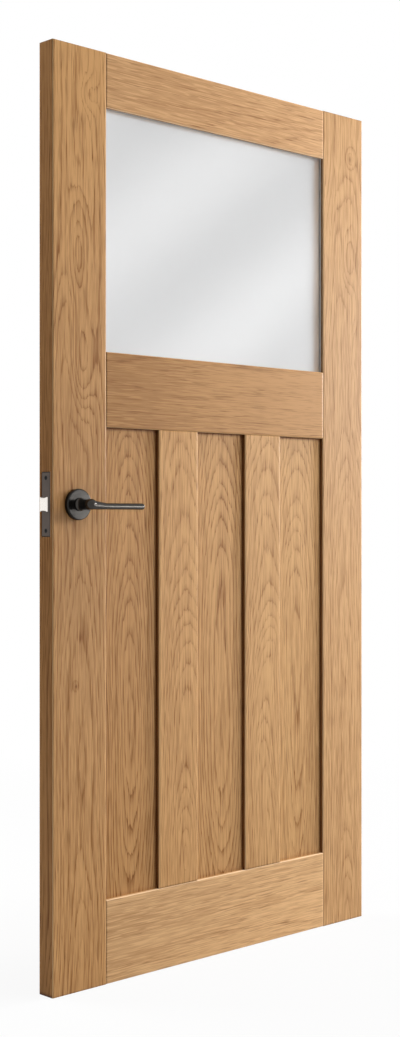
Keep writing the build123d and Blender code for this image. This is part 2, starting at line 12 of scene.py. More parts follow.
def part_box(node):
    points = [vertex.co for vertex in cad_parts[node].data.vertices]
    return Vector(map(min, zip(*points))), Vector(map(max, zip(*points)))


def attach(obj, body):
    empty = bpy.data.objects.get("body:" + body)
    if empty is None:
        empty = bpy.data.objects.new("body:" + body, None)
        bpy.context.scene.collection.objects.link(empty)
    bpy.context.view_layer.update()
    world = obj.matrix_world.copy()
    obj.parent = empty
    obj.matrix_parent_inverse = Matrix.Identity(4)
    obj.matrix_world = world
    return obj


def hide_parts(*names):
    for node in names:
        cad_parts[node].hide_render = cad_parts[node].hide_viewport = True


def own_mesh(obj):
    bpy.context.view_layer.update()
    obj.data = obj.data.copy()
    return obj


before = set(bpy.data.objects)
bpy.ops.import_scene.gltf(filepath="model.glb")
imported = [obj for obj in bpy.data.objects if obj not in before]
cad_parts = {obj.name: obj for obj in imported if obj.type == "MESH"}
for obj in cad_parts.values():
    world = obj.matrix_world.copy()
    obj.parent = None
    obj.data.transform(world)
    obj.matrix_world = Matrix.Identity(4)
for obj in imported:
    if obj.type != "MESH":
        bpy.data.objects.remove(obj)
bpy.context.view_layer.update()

log = logging.getLogger("oak_door")

Colour = tuple[float, float, float, float]
Place = tuple[float, float, float]
Span = tuple[float, float]
Node = bpy.types.Node
Socket = bpy.types.NodeSocket
Sockets = dict[str, Socket]
Inputs = dict[str | int, object]

NUMBER, VECTOR, TINT = "NodeSocketFloat", "NodeSocketVector", "NodeSocketColor"
ORIGIN: Place = (0.0, 0.0, 0.0)
WHITE: Colour = (1.0, 1.0, 1.0, 1.0)


def colour(red: int, green: int, blue: int) -> Colour:
    """Turn a display colour into the linear colour that shaders take.

    Args:
        red: Red level, 0 to 255.
        green: Green level, 0 to 255.
        blue: Blue level, 0 to 255.

    Returns:
        The linear colour with full opacity.
    """
    def linear(level: int) -> float:
        """Return one level's linear share, by the display standard's curve."""
        share = level / 255
        return share / 12.92 if share <= 0.04045 else ((share + 0.055) / 1.055) ** 2.4

    return linear(red), linear(green), linear(blue), 1.0


def toned(base: Colour, tone: Place) -> Colour:
    """Multiply a colour's red, green and blue by three factors."""
    return base[0] * tone[0], base[1] * tone[1], base[2] * tone[2], base[3]


class NodeBench:
    """Adds, sets and links the nodes of one node tree."""

    # The Mix node lists the sockets of numbers and vectors before those of colours.
    MIX_FIRST, MIX_SECOND, MIX_RESULT = 6, 7, 2
    RANGE = ("Value", "From Min", "From Max", "To Min", "To Max")

    def __init__(self, tree: bpy.types.NodeTree) -> None:
        """Keep the tree that the nodes go into."""
        self.tree = tree

    def node(self, kind: str, inputs: Inputs | None = None, **settings: object) -> Node:
        """Add a node, set its own properties and feed its inputs.

        Args:
            kind: The node's type name.
            inputs: What each input gets, by its name or number.
            settings: Properties to set on the node.

        Returns:
            The new node.
        """
        made = self.tree.nodes.new(kind)
        for name, value in settings.items():
            setattr(made, name, value)
        self.feed(made, inputs or {})
        return made

    def feed(self, node: Node, inputs: Inputs) -> None:
        """Link outputs into a node's inputs, or set plain values on them.

        Args:
            node: The node that is fed.
            inputs: What each input gets, by its name or number.
        """
        for key, value in inputs.items():
            if isinstance(value, Socket):
                self.tree.links.new(value, node.inputs[key])
            else:
                node.inputs[key].default_value = value

    def math(self, operation: str, *terms: object, clamp: bool = False) -> Socket:
        """Work out terms by a Math node, kept between 0 and 1 if clamp is set."""
        inputs = dict(enumerate(terms))
        return self.node("ShaderNodeMath", inputs, operation=operation, use_clamp=clamp).outputs[0]

    def chain(self, operation: str, *terms: object) -> Socket:
        """Join terms one after another by the same operation."""
        return reduce(lambda result, term: self.math(operation, result, term), terms)

    def centred(self, value: object, swing: object) -> Socket:
        """Make a noise value swing about zero by an amount."""
        return self.math("MULTIPLY", self.math("SUBTRACT", value, 0.5), swing)

    def split(self, vector: Socket) -> tuple[Socket, ...]:
        """Return the three coordinates of a vector."""
        return tuple(self.node("ShaderNodeSeparateXYZ", {0: vector}).outputs)

    def join(self, *coordinates: object) -> Socket:
        """Return a vector made of three coordinates."""
        return self.node("ShaderNodeCombineXYZ", dict(enumerate(coordinates))).outputs[0]

    def noise(self, vector: object, detail: float = 2.0, roughness: float = 0.5) -> Node:
        """Add a Noise Texture at scale 1 on an already scaled vector, with octaves of finer noise."""
        inputs = {"Vector": vector, "Scale": 1.0, "Detail": detail, "Roughness": roughness}
        return self.node("ShaderNodeTexNoise", inputs)

    def remap(self, value: object, span: Span, to: Span = (0.0, 1.0)) -> Socket:
        """Map a value smoothly from one range to another."""
        inputs = dict(zip(self.RANGE, (value, *span, *to)))
        return self.node("ShaderNodeMapRange", inputs, interpolation_type="SMOOTHSTEP").outputs[0]

    def blend(self, factor: object, first: object, second: object, mode: str = "MIX") -> Socket:
        """Mix a share of a second colour into a first one."""
        inputs = {0: factor, self.MIX_FIRST: first, self.MIX_SECOND: second}
        return self.node("ShaderNodeMix", inputs, data_type="RGBA", blend_type=mode).outputs[self.MIX_RESULT]

    def ramp(self, value: object, stops: tuple[Span, ...]) -> Socket:
        """Map a value through a smooth curve of grey levels.

        Args:
            value: What is mapped.
            stops: Places from 0 to 1, each with its level.

        Returns:
            The level's socket.
        """
        made = self.node("ShaderNodeValToRGB", {0: value})
        made.color_ramp.interpolation = "EASE"
        elements = made.color_ramp.elements
        while len(elements) < len(stops):
            elements.new(1.0)
        for element, (place, level) in zip(elements, stops):
            element.position = place
            element.color = (level, level, level, 1.0)
        return made.outputs[0]


class SharedGroup:
    """A shader node group that several materials use."""

    NAME: str
    INPUTS: dict[str, tuple[str, object]]
    OUTPUTS: dict[str, str]

    @classmethod
    def group(cls) -> bpy.types.NodeTree:
        """Return the group, which is built on first use."""
        return bpy.data.node_groups.get(cls.NAME) or cls.build()

    @classmethod
    def build(cls) -> bpy.types.NodeTree:
        """Make the group's sockets and fill it.

        Returns:
            The node group.
        """
        tree = bpy.data.node_groups.new(cls.NAME, "ShaderNodeTree")
        for label, (kind, default) in cls.INPUTS.items():
            socket = tree.interface.new_socket(label, in_out="INPUT", socket_type=kind)
            socket.default_value = default
        for label, kind in cls.OUTPUTS.items():
            tree.interface.new_socket(label, in_out="OUTPUT", socket_type=kind)
        bench = NodeBench(tree)
        source, sink = bench.node("NodeGroupInput"), bench.node("NodeGroupOutput")
        given = {label: source.outputs[label] for label in cls.INPUTS}
        bench.feed(sink, cls.fill(bench, given))
        return tree

    @classmethod
    def fill(cls, bench: NodeBench, given: Sockets) -> Sockets:
        """Add the group's nodes and return what its outputs get, which each group does in its own way."""
        raise NotImplementedError(cls.NAME)


class GrainAxis(Enum):
    """The way a board's grain runs in the leaf."""

    UPRIGHT = "upright"
    LEVEL = "level"


@dataclass(frozen=True)
class GrainNoise:
    """Noise with so many grains to the metre across a board and along it, and its swing about zero."""

    cross: float
    length: float
    detail: float = 2.0
    roughness: float = 0.5
    swing: float = 1.0


class BoardNoise:
    """Makes noise on the coordinates of one board."""

    def __init__(self, bench: NodeBench, board: Socket, seed: Socket) -> None:
        """Take the board's coordinates apart and move the run along it by the seed.

        Args:
            bench: Bench on the group.
            board: The board's coordinates.
            seed: Metres by which this board's noise is moved along.
        """
        self.bench = bench
        self.across, self.depth, self.along = bench.split(board)
        self.run = bench.math("ADD", self.along, seed)

    def texture(self, grain: GrainNoise) -> Node:
        """Add one noise.

        Args:
            grain: How fine the noise is.

        Returns:
            The node, whose outputs are a value and a colour.
        """
        scales = ((self.across, grain.cross), (self.depth, grain.cross), (self.run, grain.length))
        scaled = self.bench.join(*(self.bench.math("MULTIPLY", *pair) for pair in scales))
        return self.bench.noise(scaled, grain.detail, grain.roughness)

    def value(self, grain: GrainNoise) -> Socket:
        """Return a noise's value, from 0 to 1."""
        return self.texture(grain).outputs[0]

    def swung(self, grain: GrainNoise) -> Socket:
        """Return a noise's value, made to swing about zero."""
        return self.bench.centred(self.value(grain), grain.swing)


class OakFigure(SharedGroup):
    """The rings, pores and fibres of solid oak about a pith along local Z."""

    NAME = "oak_figure"
    INPUTS = {
        "Board": (VECTOR, ORIGIN),
        "Seed": (NUMBER, 0.0),
        "Ring Width": (NUMBER, 0.005),
        "Drift": (NUMBER, 0.05),
        "Bow": (NUMBER, 0.0),
        "Crest": (NUMBER, 0.0),
        "Wander": (NUMBER, 0.08),
        "Lift": (NUMBER, 0.0),
        "Stain": (NUMBER, 0.0),
        "Lines": (NUMBER, 1.0),
        "Fibres": (NUMBER, 1.0),
        "Light": (TINT, (0.6, 0.4, 0.2, 1.0)),
        "Dark": (TINT, (0.3, 0.2, 0.1, 1.0)),
        "Pore": (TINT, (0.15, 0.08, 0.03, 1.0)),
    }
    OUTPUTS = {"Color": TINT, "Roughness": NUMBER, "Height": NUMBER}

    # Noises that bend the rings; the last two swing by shares of a ring's width.
    WANDER = GrainNoise(1.6, 1.7, detail=1.0)
    COARSE = GrainNoise(26.0, 2.4, swing=1.1)
    FEATHER = GrainNoise(220.0, 10.0, swing=0.55)
    # Rings of uneven width, each dark at its start and paling outwards.
    UNEVEN_PITCH, UNEVEN_SWING = 0.31, 2.2
    RING_LEVELS = ((0.0, 0.20), (0.06, 1.0), (0.20, 0.48), (0.44, 0.12), (0.82, 0.0), (1.0, 0.20))
    # Noises that break the lines of the rings, with the spans that count and the levels they give.
    PATCHES, PATCH_SPAN, PATCH_LEVELS = GrainNoise(46.0, 3.2), (0.28, 0.66), (0.50, 1.0)
    DASHES, DASH_SPAN, DASH_LEVELS = GrainNoise(400.0, 6.0), (0.36, 0.62), (0.62, 1.18)
    # Dark pores, more of them in a ring's dark part, and pale flecks.
    PORES, PORE_SPAN = GrainNoise(400.0, 16.0, detail=1.0), (0.54, 0.66)
    RING_PORES, OTHER_PORES = 0.6, 0.4
    FLECKS, FLECK_SPAN, FLECK_SHARE = GrainNoise(390.0, 14.0, detail=1.0), (0.55, 0.68), 0.50
    # Streaks along the grain, from fine to broad.
    FIBRES = GrainNoise(290.0, 3.2, detail=4.0, roughness=0.66, swing=1.25)
    THREADS = GrainNoise(350.0, 18.0, swing=1.05)
    BANDS = GrainNoise(38.0, 0.8, swing=0.62)
    CLOUDS = GrainNoise(7.0, 0.9, swing=0.40)
    # Shares of the dark colour everywhere, and of the pores' colour in pores and stains.
    GROUND, PORE_SHARE, STAIN_SHARE = 0.17, 0.50, 0.8
    # What pores and fibres add to the roughness, and fibres to the height.
    PORE_ROUGHNESS, FIBRE_ROUGHNESS, FIBRE_HEIGHT = 0.18, 0.16, 0.35

    @classmethod
    def fill(cls, bench: NodeBench, given: Sockets) -> Sockets:
        """Draw the figure.

        Args:
            bench: Bench on the group.
            given: The group's input sockets by name.

        Returns:
            The figure's colour, roughness and height.
        """
        noise = BoardNoise(bench, given["Board"], given["Seed"])
        ring = cls.rings(bench, noise, given)
        patchy = bench.remap(noise.value(cls.PATCHES), cls.PATCH_SPAN, cls.PATCH_LEVELS)
        dashes = bench.remap(noise.value(cls.DASHES), cls.DASH_SPAN, cls.DASH_LEVELS)
        line = bench.chain("MULTIPLY", ring, patchy, dashes, given["Lines"])

        open_grain = bench.math("MULTIPLY_ADD", ring, cls.RING_PORES, cls.OTHER_PORES)
        pores = bench.math("MULTIPLY", bench.remap(noise.value(cls.PORES), cls.PORE_SPAN), open_grain)
        fleck = bench.remap(noise.value(cls.FLECKS), cls.FLECK_SPAN)
        fibre = noise.value(cls.FIBRES)
        fine = bench.math("ADD", bench.centred(fibre, cls.FIBRES.swing), noise.swung(cls.THREADS))
        broad = bench.math("ADD", noise.swung(cls.BANDS), noise.swung(cls.CLOUDS))
        streaks = bench.math("MULTIPLY", bench.math("ADD", fine, broad), given["Fibres"])

        darkness = bench.math("MULTIPLY_ADD", fleck, -cls.FLECK_SHARE, bench.math("ADD", line, streaks))
        darkness = bench.math("ADD", bench.math("ADD", darkness, cls.GROUND), given["Stain"], clamp=True)
        tinted = bench.blend(darkness, given["Light"], given["Dark"])
        stained = bench.math("MULTIPLY", given["Stain"], cls.STAIN_SHARE)
        pitted = bench.math("MAXIMUM", bench.math("MULTIPLY", pores, cls.PORE_SHARE), stained)
        fibrous = bench.math("MULTIPLY", fibre, cls.FIBRE_ROUGHNESS)
        return {
            "Color": bench.blend(pitted, tinted, given["Pore"]),
            "Roughness": bench.math("MULTIPLY_ADD", pores, cls.PORE_ROUGHNESS, fibrous),
            "Height": bench.math("SUBTRACT", bench.math("MULTIPLY", fibre, cls.FIBRE_HEIGHT), pores),
        }

    @classmethod
    def rings(cls, bench: NodeBench, noise: BoardNoise, given: Sockets) -> Socket:
        """Draw the year rings.

        Args:
            bench: Bench on the group.
            noise: The board's noise.
            given: The group's input sockets by name.

        Returns:
            The darkness of the rings, from 0 to 1.
        """
        wander_x, wander_y, _ = bench.split(noise.texture(cls.WANDER).outputs["Color"])
        pith_x = bench.math("ADD", noise.across, bench.centred(wander_x, given["Wander"]))
        pith_y = bench.math("ADD", noise.depth, bench.centred(wander_y, given["Wander"]))
        rise = bench.math("SUBTRACT", noise.along, given["Crest"])
        sweep = bench.chain("MULTIPLY", rise, rise, given["Bow"])
        pith_y = bench.math("ADD", pith_y, bench.math("MULTIPLY_ADD", noise.along, given["Drift"], sweep))
        square = bench.math("MULTIPLY_ADD", pith_x, pith_x, bench.math("MULTIPLY", pith_y, pith_y))
        radius = bench.math("ADD", bench.math("SQRT", square), given["Lift"])
        bends = bench.math("ADD", noise.swung(cls.COARSE), noise.swung(cls.FEATHER))
        turns = bench.math("ADD", bench.math("DIVIDE", radius, given["Ring Width"]), bends)
        pitch = bench.math("MULTIPLY", turns, cls.UNEVEN_PITCH)
        uneven = bench.noise(bench.join(pitch, given["Seed"], 0.0), 1.0).outputs[0]
        turns = bench.math("ADD", turns, bench.centred(uneven, cls.UNEVEN_SWING))
        return bench.ramp(bench.math("FRACT", turns), cls.RING_LEVELS)


class RingSwirl(SharedGroup):
    """The swelling of a board's rings about one point, as they swell round a knot."""

    NAME = "ring_swirl"
    INPUTS = {"Board": (VECTOR, ORIGIN), "Place": (VECTOR, ORIGIN), "Reach": (VECTOR, (0.03, 1.0, 0.06))}
    OUTPUTS = {"Swell": NUMBER, "Core": NUMBER}

    FALLS = {"Swell": 1.0, "Core": 14.0}

    @classmethod
    def fill(cls, bench: NodeBench, given: Sockets) -> Sockets:
        """Let the swelling and its core fall off round the point.

        Args:
            bench: Bench on the group.
            given: The group's input sockets by name.

        Returns:
            The swelling and the core, each 1 at the point.
        """
        board, place, reach = (bench.split(given[label]) for label in cls.INPUTS)
        squares = []
        for axis in (0, 2):
            off = bench.math("DIVIDE", bench.math("SUBTRACT", board[axis], place[axis]), reach[axis])
            squares.append(bench.math("MULTIPLY", off, off))
        away = bench.math("ADD", *squares)
        return {
            label: bench.math("EXPONENT", bench.math("MULTIPLY", away, -fall))
            for label, fall in cls.FALLS.items()
        }


class FineSpeckle(SharedGroup):
    """The slight unevenness of metal, rubber and glass."""

    NAME = "fine_speckle"
    INPUTS = {
        "Place": (VECTOR, ORIGIN),
        "Grain": (NUMBER, 900.0),
        "Cloud": (NUMBER, 30.0),
        "Base": (TINT, (0.1, 0.1, 0.1, 1.0)),
        "Worn": (TINT, (0.2, 0.2, 0.2, 1.0)),
        "Smooth": (NUMBER, 0.3),
        "Rough": (NUMBER, 0.5),
    }
    OUTPUTS = {"Color": TINT, "Roughness": NUMBER, "Height": NUMBER}

    GRAIN_DETAIL, CLOUD_DETAIL = 2.0, 3.0
    GRAIN_SHARE, CLOUD_SHARE = 0.4, 0.6
    SPREAD_SPAN = (0.3, 0.7)

    @classmethod
    def fill(cls, bench: NodeBench, given: Sockets) -> Sockets:
        """Mix grains and clouds.

        Args:
            bench: Bench on the group.
            given: The group's input sockets by name.

        Returns:
            The uneven colour, roughness and height.
        """
        place = given["Place"]

        def even(scale: Socket, detail: float) -> Socket:
            """Return noise that is alike in every direction, with so many grains to the metre."""
            scaled = bench.node("ShaderNodeVectorMath", {0: place, "Scale": scale}, operation="SCALE")
            return bench.noise(scaled.outputs[0], detail).outputs[0]

        grain = even(given["Grain"], cls.GRAIN_DETAIL)
        cloud = even(given["Cloud"], cls.CLOUD_DETAIL)
        clouded = bench.math("MULTIPLY", cloud, cls.CLOUD_SHARE)
        spread = bench.remap(bench.math("MULTIPLY_ADD", grain, cls.GRAIN_SHARE, clouded), cls.SPREAD_SPAN)
        span = bench.math("SUBTRACT", given["Rough"], given["Smooth"])
        return {
            "Color": bench.blend(spread, given["Base"], given["Worn"]),
            "Roughness": bench.math("MULTIPLY_ADD", span, spread, given["Smooth"]),
            "Height": grain,
        }


def fresh_material(name: str) -> tuple[bpy.types.Material, NodeBench, Node]:
    """Start a node material.

    Args:
        name: The material's name.

    Returns:
        The material, a bench on its nodes and its Principled BSDF.
    """
    material = bpy.data.materials.new(name)
    material.use_nodes = True
    bench = NodeBench(material.node_tree)
    return material, bench, material.node_tree.nodes["Principled BSDF"]


def bare_material(name: str) -> tuple[bpy.types.Material, NodeBench, Node]:
    """Start a node material that has only its output.

    Args:
        name: The material's name.

    Returns:
        The material, a bench on its nodes and its output.
    """
    material, bench, shader = fresh_material(name)
    bench.tree.nodes.remove(shader)
    return material, bench, bench.tree.nodes["Material Output"]


@dataclass(frozen=True)
class Relief:
    """The fine relief of a surface, with arrises rounded in the shading where eased is more than 0."""

    height: float
    strength: float
    eased: float = 0.0
    samples: int = 6

    def normal(self, bench: NodeBench, levels: Socket) -> Socket:
        """Raise a surface by a height map.

        Args:
            bench: Bench on the material's nodes.
            levels: The height map.

        Returns:
            The surface's normal.
        """
        inputs = {"Distance": self.height, "Strength": self.strength, "Height": levels}
        if self.eased:
            arris = bench.node("ShaderNodeBevel", {"Radius": self.eased}, samples=self.samples)
            inputs["Normal"] = arris.outputs[0]
        return bench.node("ShaderNodeBump", inputs).outputs[0]


@dataclass(frozen=True)
class Swirl:
    """A swelling of a board's rings, with a dark core where there is a knot.

    Its place is measured from the board's middle, along an upright board upwards and along a level one
    towards the latch.
    """

    across: float
    along: float
    reach_across: float
    reach_along: float
    lift: float
    stain: float = 0.0

    @classmethod
    def shade(cls, along: float, reach_across: float, reach_along: float, stain: float) -> "Swirl":
        """Return a broad darkening or lightening along the board's middle line, without a swelling."""
        return cls(0.0, along, reach_across, reach_along, 0.0, stain)


@dataclass(frozen=True)
class OakFinish:
    """Lacquered oak, cut for one board.

    A turn is the span of a part of the normal over which an effect comes or goes, and the recess span gives
    the metres below the face at which the painted shade in the recesses' corners starts and is full.
    """

    name: str
    middle: Place
    pith_across: float
    pith_depth: float
    seed: float
    grain: GrainAxis = GrainAxis.UPRIGHT
    ring_width: float = 0.0070
    drift: float = 0.05
    bow: float = 0.0
    crest: float = 0.0
    wander: float = 0.08
    lines: float = 1.0
    fibres: float = 1.0
    tone: Place = (1.0, 1.0, 1.0)
    swirls: tuple[Swirl, ...] = ()
    light: Colour = colour(208, 159, 104)
    dark: Colour = colour(141, 90, 41)
    pore: Colour = colour(102, 58, 21)
    # Painted shade: faces that point along X, the leaf's edges and the reveals, are multiplied by the side
    # tint.
    side_shade_turn: Span = (0.70, 0.95)
    side_shade_tint: Colour = (0.60, 0.53, 0.43, 1.0)
    # Painted shade: the corners of recesses are darkened by ambient occlusion, except on upward faces and
    # near the sill.
    painted_shade_reach: float = 0.011
    painted_shade_samples: int = 8
    painted_shade_open: Span = (0.55, 0.95)
    painted_shade_share: float = 0.9
    painted_shade: Colour = (0.27, 0.13, 0.05, 1.0)
    face_depth: float = 0.0225
    painted_shade_recess: Span = (0.001, 0.003)
    ledge_turn: Span = (0.30, 0.80)
    sill: float = -1.0
    # Pale arrises: partly sanded wear, partly a painted highlight.
    arris: Colour = colour(246, 208, 160)
    arris_turn: Span = (0.90, 0.99)
    arris_share: float = 0.55
    roughness: float = 0.36
    specular: float = 0.12
    relief: Relief = Relief(0.00012, 0.5, eased=0.006)

    def material(self) -> bpy.types.Material:
        """Build the board's material.

        Returns:
            The material.
        """
        material, bench, shader = fresh_material(f"oak_{self.name}")
        place = bench.node("ShaderNodeTexCoord")
        board = self.board(bench, place.outputs["Object"])
        lift, stain = self.swelled(bench, board)
        inputs = {
            "Board": board,
            "Seed": self.seed,
            "Ring Width": self.ring_width,
            "Drift": self.drift,
            "Bow": self.bow,
            "Crest": self.crest,
            "Wander": self.wander,
            "Lift": lift,
            "Stain": stain,
            "Lines": self.lines,
            "Fibres": self.fibres,
            "Light": toned(self.light, self.tone),
            "Dark": toned(self.dark, self.tone),
            "Pore": toned(self.pore, self.tone),
        }
        figure = bench.node("ShaderNodeGroup", inputs, node_tree=OakFigure.group()).outputs
        bench.feed(shader, {
            "Base Color": self.finished(bench, place, figure["Color"]),
            "Roughness": bench.math("ADD", figure["Roughness"], self.roughness),
            "Specular IOR Level": self.specular,
            "Normal": self.relief.normal(bench, figure["Height"]),
        })
        return material

    def board(self, bench: NodeBench, place: Socket) -> Socket:
        """Turn places in the leaf into places on the board, from its pith and along its grain.

        Args:
            bench: Bench on the material's nodes.
            place: Places in the leaf.

        Returns:
            The board's coordinates.
        """
        across, depth, along = self.middle
        turn = 0.0
        if self.grain is GrainAxis.LEVEL:
            turn = math.pi / 2
            across, along = along, -across
        inputs = {
            "Vector": place,
            "Location": (self.pith_across - across, self.pith_depth - depth, -along),
            "Rotation": (0.0, turn, 0.0),
        }
        return bench.node("ShaderNodeMapping", inputs).outputs[0]

    def swelled(self, bench: NodeBench, board: Socket) -> tuple[object, object]:
        """Add up the board's swirls.

        Args:
            bench: Bench on the material's nodes.
            board: The board's coordinates.

        Returns:
            The lift of the rings and the stain, each 0 on a board without swirls.
        """
        lift: object = 0.0
        stain: object = 0.0
        for swirl in self.swirls:
            inputs = {
                "Board": board,
                "Place": (swirl.across + self.pith_across, 0.0, swirl.along),
                "Reach": (swirl.reach_across, 1.0, swirl.reach_along),
            }
            swell = bench.node("ShaderNodeGroup", inputs, node_tree=RingSwirl.group()).outputs
            lift = bench.math("MULTIPLY_ADD", swell["Swell"], swirl.lift, lift)
            stain = bench.math("MULTIPLY_ADD", swell["Core"], swirl.stain, stain)
        return lift, stain

    def finished(self, bench: NodeBench, place: Node, base: Socket) -> Socket:
        """Paint shade on faces that point along X and in the corners of recesses, and lighten the arrises,
        partly sanded wear and partly a painted highlight.

        Args:
            bench: Bench on the material's nodes.
            place: The Texture Coordinate node.
            base: The figure's colour.

        Returns:
            The finished colour.
        """
        normal = bench.split(place.outputs["Normal"])
        _, depth, height = bench.split(place.outputs["Object"])
        square = [bench.math("ABSOLUTE", part) for part in normal]
        # Painted shade on faces that point along X.
        side_shaded = bench.blend(bench.remap(square[0], self.side_shade_turn), base, self.side_shade_tint, "MULTIPLY")
        # Painted shade in the corners of recesses below the face, from ambient occlusion, left off upward
        # ledges and the sill.
        reach = {"Distance": self.painted_shade_reach}
        painted_shade = bench.node("ShaderNodeAmbientOcclusion", reach, samples=self.painted_shade_samples)
        painted_shade_amount = bench.remap(painted_shade.outputs["AO"], self.painted_shade_open, (self.painted_shade_share, 0.0))
        start, full = (self.face_depth - below for below in self.painted_shade_recess)
        recessed = bench.remap(bench.math("ABSOLUTE", depth), (full, start), (1.0, 0.0))
        not_ledge = bench.remap(normal[2], self.ledge_turn, (1.0, 0.0))
        above_sill = bench.remap(height, (self.sill, self.sill + self.painted_shade_reach))
        painted_shade_amount = bench.chain("MULTIPLY", painted_shade_amount, recessed, not_ledge, above_sill)
        painted_shaded = bench.blend(painted_shade_amount, side_shaded, self.painted_shade, "MULTIPLY")
        # Pale arrises, partly sanded wear and partly a painted highlight.
        pale_arris_wear_and_highlight = bench.remap(bench.chain("MAXIMUM", *square), self.arris_turn, (self.arris_share, 0.0))
        return bench.blend(pale_arris_wear_and_highlight, painted_shaded, toned(self.arris, self.tone))


@dataclass(frozen=True)
class SpeckledFinish:
    """A plain finish with slight unevenness: coated or plated metal, rubber or plastic."""

    name: str
    base: Colour
    worn: Colour
    smooth: float
    rough: float
    metallic: float = 0.0
    grain: float = 900.0
    cloud: float = 30.0
    specular: float = 0.5
    relief: Relief = Relief(0.00003, 0.6)

    def material(self) -> bpy.types.Material:
        """Build the finish's material.

        Returns:
            The material.
        """
        material, bench, shader = fresh_material(self.name)
        place = bench.node("ShaderNodeTexCoord")
        inputs = {
            "Place": place.outputs["Object"],
            "Grain": self.grain,
            "Cloud": self.cloud,
            "Base": self.base,
            "Worn": self.worn,
            "Smooth": self.smooth,
            "Rough": self.rough,
        }
        speckle = bench.node("ShaderNodeGroup", inputs, node_tree=FineSpeckle.group()).outputs
        bench.feed(shader, {
            "Base Color": self.tinted(bench, place, speckle["Color"]),
            "Roughness": speckle["Roughness"],
            "Metallic": self.metallic,
            "Specular IOR Level": self.specular,
            "Normal": self.relief.normal(bench, speckle["Height"]),
        })
        return material

    def tinted(self, bench: NodeBench, place: Node, base: Socket) -> Socket:
        """Return the colour as it is; a finish with more to it changes this."""
        return base


@dataclass(frozen=True)
class ShadeLinedFinish(SpeckledFinish):
    """The finish of a plate in the YZ plane, with a darker line round its edge, painted shade for the shadow
    round the plate.
    """

    low: Place = ORIGIN
    high: Place = (1.0, 1.0, 1.0)
    edge: Colour = colour(30, 27, 25)
    shade_line_width: float = 0.0022

    def tinted(self, bench: NodeBench, place: Node, base: Socket) -> Socket:
        """Draw the line of painted shade round the edge.

        Args:
            bench: Bench on the material's nodes.
            place: The Texture Coordinate node.
            base: The plate's own colour.

        Returns:
            The colour with the line.
        """
        where = bench.split(place.outputs["Object"])
        gaps = []
        for axis in (1, 2):
            gaps.append(bench.math("SUBTRACT", where[axis], self.low[axis]))
            gaps.append(bench.math("SUBTRACT", self.high[axis], where[axis]))
        # Painted shade: a dark line along the plate's edge.
        nearest = bench.chain("MINIMUM", self.shade_line_width, *gaps)
        inside = bench.remap(nearest, (self.shade_line_width / 2, self.shade_line_width))
        return bench.blend(inside, self.edge, base)


@dataclass(frozen=True)
class SatinGlassFinish:
    """Pale glass, satin in its body and clear on its face."""

    name: str = "satin_glass"
    tint: Colour = (0.72, 0.722, 0.725, 1.0)
    smooth: float = 0.28
    rough: float = 0.33
    grain: float = 700.0
    cloud: float = 3.0
    index: float = 1.45
    clearness: float = 0.80
    haze_level: float = 0.03
    face_weight: float = 1.0
    face_roughness: float = 0.03
    relief: Relief = Relief(0.00001, 0.2)

    def material(self) -> bpy.types.Material:
        """Build the glass.

        Returns:
            The material.
        """
        material, bench, shader = fresh_material(self.name)
        place = bench.node("ShaderNodeTexCoord")
        inputs = {
            "Place": place.outputs["Object"],
            "Grain": self.grain,
            "Cloud": self.cloud,
            "Smooth": self.smooth,
            "Rough": self.rough,
        }
        speckle = bench.node("ShaderNodeGroup", inputs, node_tree=FineSpeckle.group()).outputs
        bench.feed(shader, {
            "Base Color": self.tint,
            "Roughness": speckle["Roughness"],
            "IOR": self.index,
            "Specular IOR Level": self.haze_level,
            "Transmission Weight": self.clearness,
            "Coat Weight": self.face_weight,
            "Coat Roughness": self.face_roughness,
            "Normal": self.relief.normal(bench, speckle["Height"]),
        })
        return material


# The levers and roses are one dark metal in two copies: the levers' is painted lighter, a painted highlight,
# and the roses' darker, painted shade.
LIT_LEVER_METAL = SpeckledFinish(
    "dark_lever_metal", colour(53, 50, 47), colour(63, 60, 56), smooth=0.15, rough=0.21, metallic=0.8
)
SHADED_ROSE_METAL = SpeckledFinish(
    "dark_rose_metal", colour(34, 32, 30), colour(42, 40, 37), smooth=0.13, rough=0.19, metallic=0.8
)
SCREW_METAL = SpeckledFinish(
    "dark_screw_metal", colour(16, 15, 14), colour(24, 23, 22), smooth=0.44, rough=0.56, metallic=0.6
)
HINGE_METAL = SpeckledFinish(
    "dark_hinge_metal", colour(50, 48, 46), colour(64, 61, 58), smooth=0.40, rough=0.50, metallic=0.7
)
BRIGHT_METAL = SpeckledFinish(
    "bright_bolt_metal", colour(253, 248, 241), colour(246, 240, 232), smooth=0.24, rough=0.34, metallic=0.95
)
PLATED_STEEL = SpeckledFinish(
    "plated_steel", colour(196, 194, 188), colour(170, 166, 158), smooth=0.28, rough=0.42, metallic=1.0
)
PALE_TAPE = SpeckledFinish(
    "pale_glazing_tape", colour(236, 231, 224), colour(226, 219, 210), smooth=0.62, rough=0.76
)
BLOCK_PLASTIC = SpeckledFinish(
    "setting_block_plastic", colour(70, 70, 72), colour(84, 84, 86), smooth=0.5, rough=0.62
)
RAIL_CUT = {"drift": 0.012, "wander": 0.03, "lines": 0.30, "fibres": 0.68}
# The beads carry no painted shade, and their oak is painted paler: painted light against the shade they sit
# in behind the glass.
BEAD_CUT = {**RAIL_CUT, "painted_shade_share": 0.0, "side_shade_tint": WHITE, "tone": (1.10, 1.16, 1.28)}
PANEL_CUT = {"drift": 0.008, "bow": 0.13, "wander": 0.05, "ring_width": 0.0062}
MUNTIN_CUT = {"drift": 0.11, "painted_shade_share": 0.8}


def dress(material: bpy.types.Material, *nodes: str) -> None:
    """Give nodes of the frame one material.

    Args:
        material: What they get.
        nodes: The nodes' names.
    """
    for node in nodes:
        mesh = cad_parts[node].data
        mesh.materials.clear()
        mesh.materials.append(material)
        log.info("%s dressed in %s", node, material.name)


